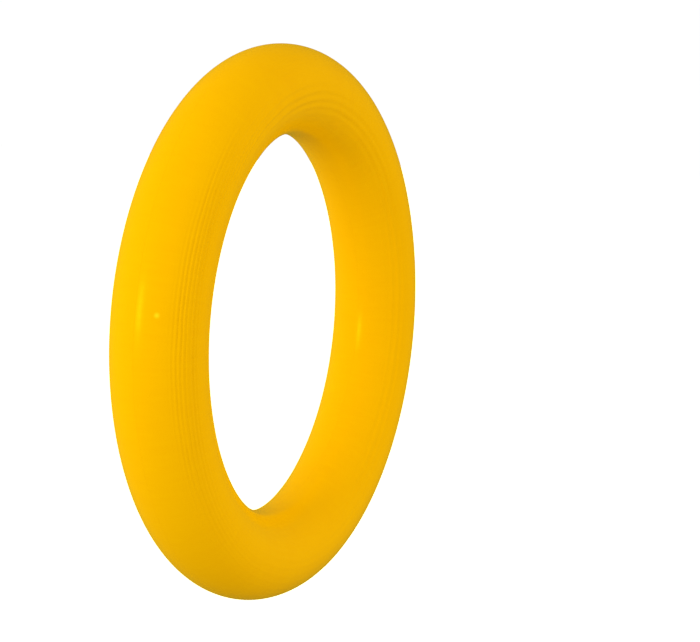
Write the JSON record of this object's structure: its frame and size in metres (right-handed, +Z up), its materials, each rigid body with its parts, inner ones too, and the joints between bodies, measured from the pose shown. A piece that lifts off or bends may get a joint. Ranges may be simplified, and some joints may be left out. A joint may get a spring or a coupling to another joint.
{
  "type": "gymnastics ring",
  "caption": "Hanging gymnastics ring: a round moulded plastic grip ring on a closed steel core bar, with low grip ridges on both faces.",
  "frame": {"origin": "strap seat: the highest point of the hand hole's wall, midway between the faces, which a strap carries the ring by; the ring's centre is 59 mm below it", "axes": "+Z up, along the strap's pull; +Y along the ring's axis, from the front face to the rear face; +X across the ring, so the ring stands upright in the XZ plane"},
  "size_m": [0.174, 0.028, 0.174],
  "materials": {
    "front_plastic": "gloss",
    "rear_plastic": "gloss",
    "weld_plastic": "satin",
    "core_steel": "satin",
    "weld_steel": "matte"
  },
  "bodies": {
    "root": {"front_shell": "front_plastic", "rear_shell": "rear_plastic", "outer_seam_weld": "weld_plastic", "inner_seam_weld": "weld_plastic", "core_bar": "core_steel", "core_weld": "weld_steel"}
  },
  "joints": []
}
